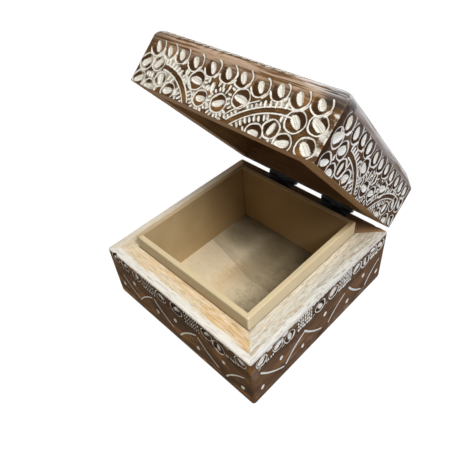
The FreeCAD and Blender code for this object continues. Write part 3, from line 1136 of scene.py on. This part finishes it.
def carved_stain():
    """Brown stained wood with white filler in its cuts, smeared round them and rubbed on worn edges, and
    painted reflection, highlights and shade.
    """
    colours = bpy.context.scene.keepsake_colours
    finish = Finish("carved_stain")
    board = finish.stored("board", 1)
    streaks, figure, mottle = finish.grain(board)
    fleck = finish.noise(board, (900, 900, 900), 3, 0.6)
    lines = finish.noise(board, (35, 2600, 2600), 3, 0.6)
    bands = finish.noise(board, (45, 700, 700), 3, 0.6)
    blots = finish.noise(board, (170, 260, 260), 3, 0.6)
    patches = finish.noise(board, (55, 85, 85), 3, 0.6, 0.5)
    scrape = finish.add("ShaderNodeTexNoise", {"noise_dimensions": "1D"},
                        {"W": finish.stored("groove") * 1.5, "Scale": 1.0, "Detail": 2.0})
    warmth, crown, sheen = (finish.stored(name) for name in ("warmth", "crown", "sheen"))

    # Worn wood of the crown, striped along the grain, with painted gloss highlights on its crest
    stain = finish.mix(warmth, colours.stain_cool, colours.stain)
    stripes = bands * 0.7 + lines * 0.4
    worn = finish.mix(0.85 + crown.step(0.66, 0.8) * 0.15, colours.stain_gold, colours.crown)
    worn = finish.mix(warmth, colours.crown_cool, worn)
    worn = finish.mix(stripes.step(0.46, 0.58) + (1 - warmth) * 0.35, stain, worn)
    crest = stripes.step(0.5, 0.58) * crown.step(0.64, 0.8)
    shine = sheen * warmth * 1.3 + (1 - sheen * 0.7) * (1 - warmth) * 0.58

    # Stained wood, from its grain to the smears of filler, with painted reflection, highlights and shade
    # among its coats
    dark_grain = (streaks * 0.6 + figure * 0.6 + mottle * 0.2).step(0.42, 0.76)
    pale_grain = (streaks * 0.6 + figure * 0.5).step(0.55, 0.76)
    smeared = (finish.stored("smear") * 0.9 + fleck * 0.45 + mottle * 0.3).step(0.72, 1.0)
    wood = finish.layers(
        finish.mix(dark_grain, colours.stain_dark_and_shade, stain),
        (pale_grain * 0.65, colours.stain_pale),
        (patches.step(0.5, 0.3) * 0.5, colours.stain_dark_and_shade),
        (patches.step(0.52, 0.66) * warmth * 0.65, colours.stain_gold),
        (patches.step(0.56, 0.72) * (1 - warmth) * 0.4, colours.crown_cool),
        (crown * (0.85 + mottle * 0.4), worn),
        # Painted dark reflection at the lid's front right corner
        (sheen.step(0.72, 1.0) * (0.5 + mottle * 0.5), colours.painted_dark_reflection),
        # Painted bluish highlights along the crest, strongest near the front right corner and on the cool
        # sides
        (crest * shine * (1 - sheen.step(0.85, 1.0) * 0.1), colours.painted_gloss),
        # Stain left in the rings' ground and darkening round the cuts, with painted shade on the dark side of
        # each ring and on the base's front
        (finish.stored("ground") * (0.75 + mottle * 0.25), colours.stain_dark_and_shade),
        (smeared * (0.15 + warmth * 0.6), colours.filler_dirt))

    # Filler in the cuts, scraped and dirty, and rubbed into the wood along the rim
    filled = (finish.stored("filler") + fleck * 0.5 - 0.25).step(0.3, 0.6)
    rubbed = (finish.stored("rim") * 1.2 + blots * 1.2 + fleck * 0.2).step(1.2, 1.42)
    # Bluish filler on the cool sides is painted cool light
    white = finish.mix(warmth, colours.filler_cool_light, colours.filler)
    white = finish.mix((scrape * 0.8 + fleck * 0.4).step(0.45, 0.66), colours.filler_dirt, white)
    colour = finish.mix(filled + rubbed * 0.85, wood, white)
    return finish.surface({
        "Base Color": colour,
        "Roughness": 0.45 + filled * 0.3 + streaks * 0.15,
        "Specular IOR Level": 0.01,
        "Coat Weight": crown * 0.1 + crest * (sheen * 0.7 + (1 - warmth) * 0.6),
        "Coat Roughness": 0.25,
        "Normal": finish.bump(streaks * 0.5 + fleck * 0.4 + scrape * filled * 0.8, 0.4, 0.00025),
    })


def bare_rim():
    """Pale bare wood of the rim with dark and orange streaks and ragged whitewash along the outer edge, and
    painted shade of the lid towards the back.
    """
    colours = bpy.context.scene.keepsake_colours
    finish = Finish("bare_rim")
    board = finish.stored("board", 1)
    streaks, figure, _ = finish.grain(board)
    x, y, _ = finish.millimetres()
    inwards = HALF / MM - abs(x).larger(abs(y))
    ragged = finish.noise(board, (45, 300, 300), 4, 0.65)
    fibres = finish.noise(board, (130, 1900, 1900), 3, 0.65)
    pores = finish.noise(board, (120, 2100, 2100), 4, 0.65, 0.5)
    patches = finish.noise(board, (22, 110, 110), 3, 0.6)
    weather = finish.noise(board, (150, 950, 950), 4, 0.7)
    warmth = finish.stored("warmth")

    # Bare wood, tan where it is warm and grey where it is not
    orange = (patches * 0.8 + figure * 0.4).step(0.5, 0.66) * x.step(-48.0, 0.0)
    tan = finish.mix(orange, colours.rim, colours.rim_warm)
    grey = finish.mix((figure * 0.6 + patches * 0.6).step(0.5, 0.72), colours.rim_grey, colours.rim_pale)

    # Whitewash, ragged along the outer edge and thin elsewhere
    reach = 3.6 + x.step(0.0, -40.0) + (ragged - 0.5) * 7.0 - inwards
    whitewash = (reach * 0.2 + fibres * 0.9 + streaks * 0.4).step(0.5, 0.8)
    thin_wash = (fibres * 0.7 + ragged * 0.5).step(0.54, 0.74) * (0.5 - warmth * 0.22)
    white = finish.mix(warmth, colours.rim_white_cool, colours.rim_white)

    # Places on the rim, in millimetres from the middle of the box
    knot = (streaks * 0.5 + figure * 0.5).step(0.5, 0.4) * x.step(24.0, 40.0) * y.step(-36.0, -40.0)
    back = (y - abs(x)).step(-0.2, 0.2)
    left = (abs(y) + x).step(0.2, -0.2)
    wood = finish.layers(
        finish.mix(warmth, grey, tan),
        (knot * 0.8, colours.rim_pores_and_shade),
        (whitewash * 0.95 + thin_wash, white),
        (pores.step(0.53, 0.66) * (0.64 - warmth * 0.05) * (1 - whitewash * 0.4), colours.rim_pores_and_shade),
        # Painted shade of the lid towards the back, most on the cool right rim
        ((1 - warmth) * y.step(14.0, 50.0) * 0.5, colours.rim_pores_and_shade),
        (weather.step(0.54, 0.64) * (0.85 - warmth * 0.4), white),
        (weather.step(0.46, 0.35) * (0.65 - warmth * 0.25), colours.rim_pores_and_shade),
        (left * 0.45, colours.rim),
        # Back of the rim browner with stain and painted shade of the lid, and painted shade of the lid on the
        # back of the left rim
        (back * 0.9 + left * y.step(12.0, 48.0) * 0.75, colours.rim_stain_and_shade))
    return finish.surface({
        "Base Color": wood,
        "Roughness": 0.65 + streaks * 0.2,
        "Specular IOR Level": 0.05,
        "Normal": finish.bump(pores * -0.8 + fibres * 0.6 + whitewash * 0.3, 0.5, 0.0003),
    })


def lid_inside():
    """Brown unfinished wood of the lid's lower edges and inside."""
    colours = bpy.context.scene.keepsake_colours
    finish = Finish("lid_inside")
    board = finish.stored("board", 1)
    streaks, figure, mottle = finish.grain(board)
    wood = finish.layers(
        colours.inside_dark,
        ((streaks * 0.6 + figure * 0.5).step(0.38, 0.68), colours.inside),
        (mottle.step(0.5, 0.75) * 0.35, colours.inside_dark))
    return finish.surface({
        "Base Color": wood,
        "Roughness": 0.6 + streaks * 0.15,
        "Specular IOR Level": 0.08,
        "Normal": finish.bump(streaks, 0.35, 0.0002),
    })


def floor_wood():
    """Pale floor board with a curved growth line, greyer heartwood behind it and a warm patch, with painted
    shade towards the back and the right.
    """
    colours = bpy.context.scene.keepsake_colours
    finish = Finish("floor_wood")
    board = finish.stored("board", 1)
    streaks, _, mottle = finish.grain(board)
    x, y, _ = finish.millimetres()
    cloud = finish.noise(finish.place(), (260, 420, 420), 4, 0.62, 0.8)
    blotch = finish.noise(finish.place(), (50, 70, 70), 4, 0.6, 0.5)

    # Growth line that bends forward at the left, with shade behind it
    behind = y + x.smaller(0.0) * 0.235 + blotch * 2.0 + 0.2
    growth_line = behind.step(-1.2, -0.1) * behind.step(0.2, -0.1)
    shade = behind.step(-0.2, 0.6) * behind.step(9.0, 0.6)

    # Patches with cloudy edges, at places in millimetres from the middle of the floor: heartwood, and painted
    # shade at the back, in the middle and at the right
    right = (x + cloud * 10.0 + blotch * 14.0).step(2.0, 26.0)
    warm = (abs(x + 8.0) + blotch * 8.0).step(15.0, 3.0) * (y + blotch * 10.0).step(16.0, 6.0)
    across, along = (x + 25.0) * 0.07, (y - 19.0) * 0.11
    oval = (across * across + along * along + blotch * 1.6).step(1.9, 0.7)
    pale_grain = (streaks * 0.7 + cloud * 0.4).step(0.52, 0.7) * (1 - right)
    middle = (x + (blotch - 0.5) * 14.0).step(-18.0, -2.0) * (y + (cloud - 0.5) * 10.0).step(-10.0, 12.0)
    dull = (abs(x + 3.0) + (cloud - 0.5) * 8.0).step(11.0, 4.0) * (y + (blotch - 0.5) * 8.0).step(-16.0, 2.0)
    back = (y + (blotch - 0.5) * 12.0 + (cloud - 0.5) * 6.0).step(1.0, 42.0)
    mottled = (cloud * 0.9 + mottle * 0.2).step(0.6, 0.44) * (0.1 + right * 0.5)
    wood = finish.layers(
        colours.floor,
        (shade * 0.3, colours.floor_dark_and_shade),
        (warm * 0.55, colours.floor_warm),
        (oval * 0.45, colours.floor_dark_and_shade),
        (pale_grain * 0.35, colours.rim_white),
        (growth_line * (0.35 - right * 0.2), colours.rim_white),
        # Heartwood and painted shade of the right liner strip
        (right * 0.36, colours.floor_dark_and_shade),
        # Painted shadow in the middle and towards the right
        (middle * 0.45, colours.floor_dark_and_shade),
        (dull * 0.3, colours.floor_dark_and_shade),
        # Painted shade under the lid, deepening towards the back
        (back * 0.88, colours.floor_deep_and_shade),
        (mottled * 0.5, colours.floor_deep_and_shade))
    return finish.surface({
        "Base Color": wood,
        "Roughness": 0.65 + streaks * 0.15,
        "Specular IOR Level": 0.05,
        "Normal": finish.bump(streaks, 0.3, 0.0002),
    })


def liner_fibreboard():
    """Bare fibreboard with short fibres, paler on its sawn upper edges and worn corners, with painted light
    on the right outer face and painted shade inside and at the back.
    """
    colours = bpy.context.scene.keepsake_colours
    finish = Finish("liner_fibreboard")
    place = finish.place()
    x, y, z = finish.millimetres()
    outer_half, inner_half = liner_high.x / MM, -liner_high.y / MM
    liner_top, rim_level = liner_high.z / MM, wall_high.z / MM
    fibres = finish.noise(place, (900, 900, 900), 4, 0.7)
    cloud = finish.noise(place, (60, 60, 60), 3)
    clouded = (fibres * 0.5 + cloud * 0.6).step(0.35, 0.75)

    # Parts of the strips: sawn top, worn corners, faces, dark foot at the rim and seams in the corners
    farther, nearer = abs(x).larger(abs(y)), abs(x).smaller(abs(y))
    top = (z + fibres * 0.8).step(liner_top - 0.6, liner_top + 0.5)
    corner = (nearer + fibres * 0.8).step(outer_half - 1.2, outer_half + 0.2)
    outer = farther.step(outer_half - 0.6, outer_half - 0.3)
    inner = (1 - outer) * (1 - top)
    foot = (z + fibres * 0.4).step(rim_level + 0.7, rim_level + 0.2)
    # Painted light: the right outer face paler, fading towards the back
    painted_lit_right_face = outer * x.step(outer_half - 0.6, outer_half - 0.3) * y.step(44.0, 20.0)
    seam = nearer.step(inner_half - 0.6, inner_half - 0.1)
    board = finish.layers(
        colours.fibreboard,
        (clouded * 0.5, colours.fibreboard_dark),
        (top * 0.8 + corner * 0.8, colours.fibreboard_edge),
        (outer * foot * 0.75, colours.inside_dark),
        # Painted shade on the inner faces, deeper towards the back
        (inner * (0.12 + y.step(-34.0, 40.0) * 0.36), colours.fibreboard_painted_shade),
        (outer * (1 - top) * 0.34 + painted_lit_right_face * (1 - top) * 0.27, colours.fibreboard_pale_and_lit),
        (top * x.step(-36.0, -37.0) * 0.4, colours.rim_stain_and_shade),
        # Painted shade of the lid on the back of the right top edge
        (top * x.step(30.0, 36.0) * y.step(16.0, 40.0) * 0.6, colours.rim_stain_and_shade),
        (seam * inner * 0.6, colours.inside_dark))
    return finish.surface({
        "Base Color": board,
        "Roughness": 0.72 + fibres * 0.15,
        "Specular IOR Level": 0.08,
        "Normal": finish.bump(fibres, 0.25, 0.00015),
    })


def black_hinge():
    """Black lacquered steel with rubbed spots."""
    colours = bpy.context.scene.keepsake_colours
    finish = Finish("black_hinge")
    spots = finish.noise(finish.place(), (700, 700, 700), 3, 0.6)
    rub = spots.step(0.62, 0.8)
    return finish.surface({
        "Base Color": finish.mix(rub * 0.4, colours.hinge, colours.hinge_rubbed),
        "Metallic": rub * 0.6,
        "Roughness": 0.4 + spots * 0.3,
        "Normal": finish.bump(spots, 0.2, 0.0001),
    })


def finish_piece(piece, body, node):
    """Joins a piece to its body in place of a node."""
    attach(piece, body)
    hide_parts(node)


class KEEPSAKE_OT_base_walls(bpy.types.Operator):
    """Four mitred walls of the base, carved outside and bare on the rim"""

    bl_idname = "keepsake.base_walls"
    bl_label = "Base walls"

    def execute(self, context):
        settings = context.scene.keepsake_carving
        stain, rim, inside = carved_stain(), bare_rim(), lid_inside()
        easings = settings.seam_easing, settings.rim_easing
        pocket = wall_high.z - settings.leaf_thickness, wall_high.z + settings.leaf_thickness
        for number, side in enumerate(SIDES):
            wall, outer_faces = carved_wall(
                f"carved_base_{side}", (wall_low, wall_high), floor_low.z, number, BASE_SIDES,
                carve_base_side, wear_base_side, easings)
            assign_wall_finishes(wall, outer_faces, stain, rim, inside, inside)
            wall.data.transform(Matrix.Rotation(number * math.pi / 2, 4, "Z"))
            if side == "back":
                leaves = [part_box(f"hinge_{hinge}_base_leaf") for hinge in HINGES]
                cut_leaf_pockets(wall, leaves, *pocket)
            finish_piece(wall, "base", f"base_{side}_wall")
        return {"FINISHED"}


# Cells along each side of the floor board's grid, and the numbers of the two boards after the eight walls
FLOOR_CELLS = 120
TOP_NUMBER = 8
FLOOR_NUMBER = 9


class KEEPSAKE_OT_floor_board(bpy.types.Operator):
    """Board under the base, pale inside and stained outside"""

    bl_idname = "keepsake.floor_board"
    bl_label = "Floor board"

    def execute(self, context):
        settings = context.scene.keepsake_carving
        board = capped_board("rounded_floor", FLOOR_CELLS, floor_low.z, floor_high.z, settings.foot,
                             FLOOR_NUMBER, front=1)
        middle = (floor_low.z + floor_high.z) / 2
        over = Matrix.Translation((0, 0, middle)) @ Matrix.Rotation(math.pi, 4, "X")
        board.data.transform(over @ Matrix.Translation((0, 0, -middle)))
        board.data.materials.append(bpy.data.materials["carved_stain"])
        board.data.materials.append(floor_wood())
        for face in board.data.polygons:
            face.material_index = 1 if face.normal.z > LEVEL else 0
        finish_piece(board, "base", "floor_board")
        return {"FINISHED"}


class KEEPSAKE_OT_lid_walls(bpy.types.Operator):
    """Four mitred walls of the lid, carved outside"""

    bl_idname = "keepsake.lid_walls"
    bl_label = "Lid walls"

    def execute(self, context):
        settings = context.scene.keepsake_carving
        stain, inside = bpy.data.materials["carved_stain"], bpy.data.materials["lid_inside"]
        easings = settings.seam_easing, settings.seam_easing
        pocket = lid_wall_low.z - settings.leaf_thickness, lid_wall_low.z + settings.leaf_thickness
        for number, side in enumerate(SIDES):
            wall, outer_faces = carved_wall(
                f"carved_lid_{side}", (lid_wall_low, lid_wall_high), lid_wall_low.z, number + len(SIDES),
                LID_SIDES, carve_lid_side, wear_lid_side, easings)
            assign_wall_finishes(wall, outer_faces, stain, inside, inside, inside)
            wall.data.transform(Matrix.Rotation(number * math.pi / 2, 4, "Z"))
            if side == "back":
                leaves = [shut_box(f"hinge_{hinge}_lid_leaf") for hinge in HINGES]
                cut_leaf_pockets(wall, leaves, *pocket)
            wall.data.transform(OPEN_LID)
            finish_piece(wall, "lid", f"lid_{side}_wall")
        return {"FINISHED"}


class KEEPSAKE_OT_lid_top(bpy.types.Operator):
    """Carved board over the lid walls"""

    bl_idname = "keepsake.lid_top"
    bl_label = "Lid top"

    def execute(self, context):
        settings = context.scene.keepsake_carving
        cells = round(2 * HALF / settings.top_cell)
        board = capped_board("carved_lid_top", cells, lid_top_low.z, lid_top_high.z, settings.crown,
                             TOP_NUMBER, front=-1, ornament=carve_lid_top)
        turn_end_grain(board)
        board.data.materials.append(bpy.data.materials["carved_stain"])
        board.data.materials.append(bpy.data.materials["lid_inside"])
        for face in board.data.polygons:
            face.material_index = 1 if face.normal.z < -LEVEL else 0
        board.data.transform(OPEN_LID)
        finish_piece(board, "lid", "lid_top_board")
        return {"FINISHED"}


class KEEPSAKE_OT_liner(bpy.types.Operator):
    """Fibreboard finish on the liner strips"""

    bl_idname = "keepsake.liner"
    bl_label = "Liner"

    def execute(self, context):
        fibreboard = liner_fibreboard()
        for side in SIDES:
            strip = frame["nodes"][f"liner_{side}"]
            strip.data.materials.clear()
            strip.data.materials.append(fibreboard)
        return {"FINISHED"}


class KEEPSAKE_OT_hinges(bpy.types.Operator):
    """Black finish on the leaves and pins"""

    bl_idname = "keepsake.hinges"
    bl_label = "Hinges"

    def execute(self, context):
        black = black_hinge()
        for name, node in frame["nodes"].items():
            if "leaf" in name or "pin" in name:
                node.data.materials.clear()
                node.data.materials.append(black)
        return {"FINISHED"}


# Lights: side, place and colour of each, and the place at which all are aimed
LIGHTS = {
    "key": (0.26, (0.41, -0.12, 0.64), (1.0, 0.975, 0.94)),
    "fill": (0.5, (0.75, 0.05, 0.22), (0.84, 0.92, 1.0)),
    "left": (0.3, (-0.35, 0.0, 0.75), (1.0, 0.95, 0.86)),
}
LIGHT_AIM = (0, 0, 0.05)

# Floor: the tone that it throws back, the white that is seen, and the share and strength of its glow
FLOOR_SIZE = 6
FLOOR_BOUNCE = (0.72, 0.67, 0.59, 1)
FLOOR_WHITE = (0.95, 0.95, 0.95, 1)
GLOW_SHARE = 0.9
GLOW_STRENGTH = 1.08

# Sky: the tone of its light and the white that is seen
SKY_TONE = (0.97, 0.98, 1.0, 1)
WHITE = (1, 1, 1, 1)


class KEEPSAKE_OT_stage(bpy.types.Operator):
    """White floor, soft lights and the camera"""

    bl_idname = "keepsake.stage"
    bl_label = "Stage"

    def execute(self, context):
        stage = context.scene.keepsake_stage
        context.scene.view_settings.view_transform = "Standard"
        self.add_floor()
        self.add_sky(stage.sky)
        for name, (size, place, colour) in LIGHTS.items():
            self.add_light(f"{name}_light", getattr(stage, name), size, place, colour)
        self.add_camera(stage)
        return {"FINISHED"}

    def add_floor(self):
        """Floor that looks white and throws back a warmer tone."""
        bpy.ops.object.select_all(action="DESELECT")
        bpy.ops.mesh.primitive_plane_add(size=FLOOR_SIZE)
        floor = bpy.context.object
        floor.name = "floor"
        finish = Finish("white_floor")
        pale = finish.add("ShaderNodeBsdfDiffuse", None, {"Color": FLOOR_BOUNCE})
        white = finish.add("ShaderNodeBsdfDiffuse", None, {"Color": FLOOR_WHITE})
        glow = finish.add("ShaderNodeEmission", None, {"Color": WHITE, "Strength": GLOW_STRENGTH})
        backdrop = finish.add("ShaderNodeMixShader", None, {0: GLOW_SHARE, 1: white, 2: glow})
        shader = finish.add("ShaderNodeMixShader", None, {0: finish.seen_share(), 1: pale, 2: backdrop})
        finish.add("ShaderNodeOutputMaterial", None, {"Surface": shader})
        floor.data.materials.append(finish.material)

    def add_sky(self, strength):
        """Dim sky that looks white."""
        world = bpy.data.worlds.new("sky")
        world.use_nodes = True
        sky = Nodes(world.node_tree)
        light = sky.add("ShaderNodeBackground", None, {"Color": SKY_TONE, "Strength": strength})
        white = sky.add("ShaderNodeBackground", None, {"Color": WHITE, "Strength": 1.0})
        shader = sky.add("ShaderNodeMixShader", None, {0: sky.seen_share(), 1: light, 2: white})
        sky.add("ShaderNodeOutputWorld", None, {"Surface": shader})
        bpy.context.scene.world = world

    def add_light(self, name, power, size, place, colour):
        """Square light that is aimed at the box."""
        bpy.ops.object.light_add(type="AREA", location=place)
        light = bpy.context.object
        light.name = name
        light.data.energy = power
        light.data.size = size
        light.data.color = colour
        aim = Vector(LIGHT_AIM) - Vector(place)
        light.rotation_euler = aim.to_track_quat("-Z", "Y").to_euler()

    def add_camera(self, stage):
        """Camera at its place, turned by its three angles."""
        back = Vector((math.sin(stage.azimuth) * math.cos(stage.elevation),
                       -math.cos(stage.azimuth) * math.cos(stage.elevation), math.sin(stage.elevation)))
        right = Vector((0, 0, 1)).cross(back).normalized()
        up = back.cross(right)
        rolled_right = math.cos(stage.roll) * right + math.sin(stage.roll) * up
        rolled_up = math.cos(stage.roll) * up - math.sin(stage.roll) * right
        bpy.ops.object.camera_add()
        camera = bpy.context.object
        turn = Matrix((rolled_right, rolled_up, back)).transposed().to_4x4()
        camera.matrix_world = Matrix.Translation(stage.place) @ turn
        camera.data.lens = stage.lens
        bpy.context.scene.camera = camera


PIECE_OPERATORS = (
    KEEPSAKE_OT_base_walls,
    KEEPSAKE_OT_floor_board,
    KEEPSAKE_OT_lid_walls,
    KEEPSAKE_OT_lid_top,
    KEEPSAKE_OT_liner,
    KEEPSAKE_OT_hinges,
    KEEPSAKE_OT_stage,
)


class KEEPSAKE_PT_panel(bpy.types.Panel):
    """Steps that dress the box, with their sizes and colours"""

    bl_idname = "KEEPSAKE_PT_panel"
    bl_label = "Keepsake box"
    bl_space_type = "VIEW_3D"
    bl_region_type = "UI"
    bl_category = "Keepsake box"

    def draw(self, context):
        for operator in PIECE_OPERATORS:
            self.layout.operator(operator.bl_idname)
        for group in SETTINGS:
            settings = getattr(context.scene, group)
            for name in settings.bl_rna.properties.keys():
                if name not in {"rna_type", "name"}:
                    self.layout.prop(settings, name)


SETTINGS = {
    "keepsake_carving": KeepsakeCarving,
    "keepsake_colours": KeepsakeColours,
    "keepsake_stage": KeepsakeStage,
}
CLASSES = (*SETTINGS.values(), *PIECE_OPERATORS, KEEPSAKE_PT_panel)


def register():
    """Makes the operators, the panel and their settings known."""
    for entry in CLASSES:
        bpy.utils.register_class(entry)
    for name, group in SETTINGS.items():
        setattr(bpy.types.Scene, name, PointerProperty(type=group))


def unregister():
    """Takes back what was registered."""
    for name in SETTINGS:
        delattr(bpy.types.Scene, name)
    for entry in reversed(CLASSES):
        bpy.utils.unregister_class(entry)


def main():
    """Dresses the box step by step."""
    register()
    bpy.ops.keepsake.base_walls()
    bpy.ops.keepsake.floor_board()
    bpy.ops.keepsake.lid_walls()
    bpy.ops.keepsake.lid_top()
    bpy.ops.keepsake.liner()
    bpy.ops.keepsake.hinges()
    bpy.ops.keepsake.stage()


if __name__ == "__main__":
    main()
